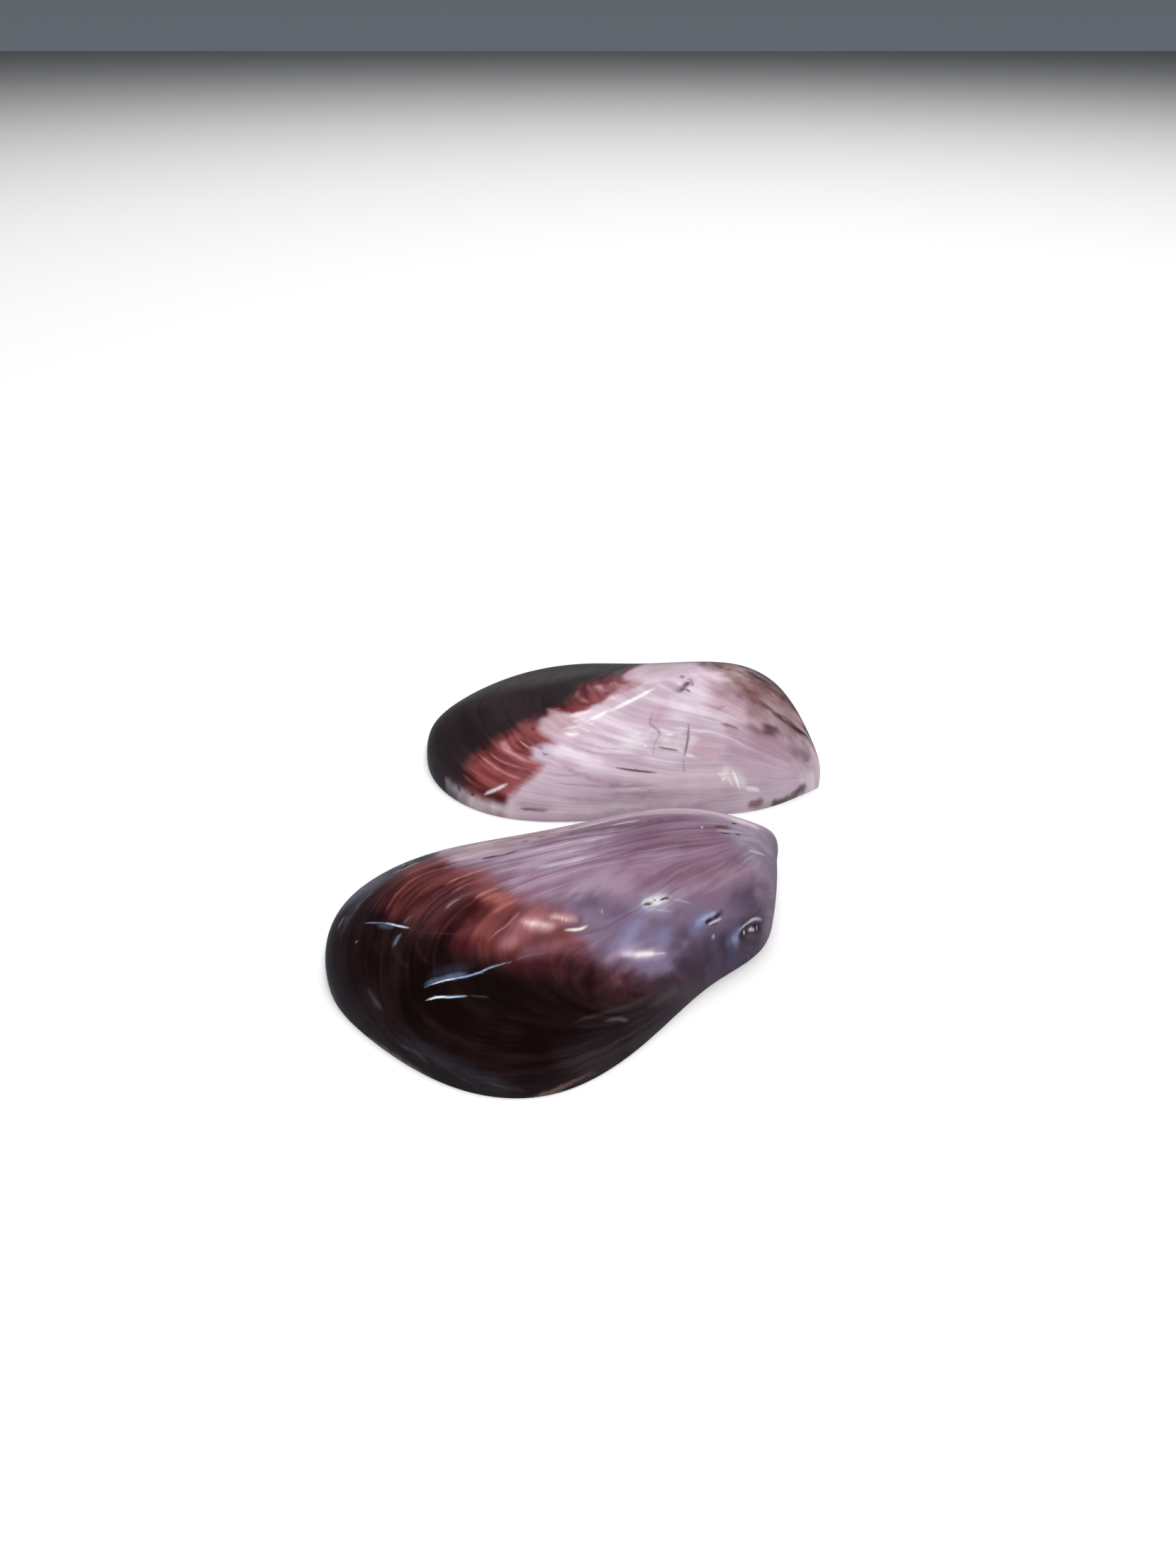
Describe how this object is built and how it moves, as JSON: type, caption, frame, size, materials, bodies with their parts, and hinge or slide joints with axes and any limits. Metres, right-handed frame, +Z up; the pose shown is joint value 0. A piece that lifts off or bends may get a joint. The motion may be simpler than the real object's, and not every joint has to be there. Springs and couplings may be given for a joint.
{
  "type": "mussel shell",
  "caption": "Empty polished mussel shell parted into its halves, lying hollow side down: long domes, pointed at the beak and broad and rounded at the hind end.",
  "frame": {"origin": "on the ground, under the middle of the box around both halves", "axes": "+Z up, +X towards the beaks, +Y from the right valve to the left valve"},
  "size_m": [0.083, 0.104, 0.0189],
  "materials": {
    "right_valve_shell": "polished, near-black brown with a mauve upper side and rust-red streaks",
    "left_valve_shell": "polished, pale lilac-pink with a near-black hind end and a crimson boundary"
  },
  "bodies": {
    "root": {"right_valve": "right_valve_shell", "left_valve": "left_valve_shell"}
  },
  "joints": []
}
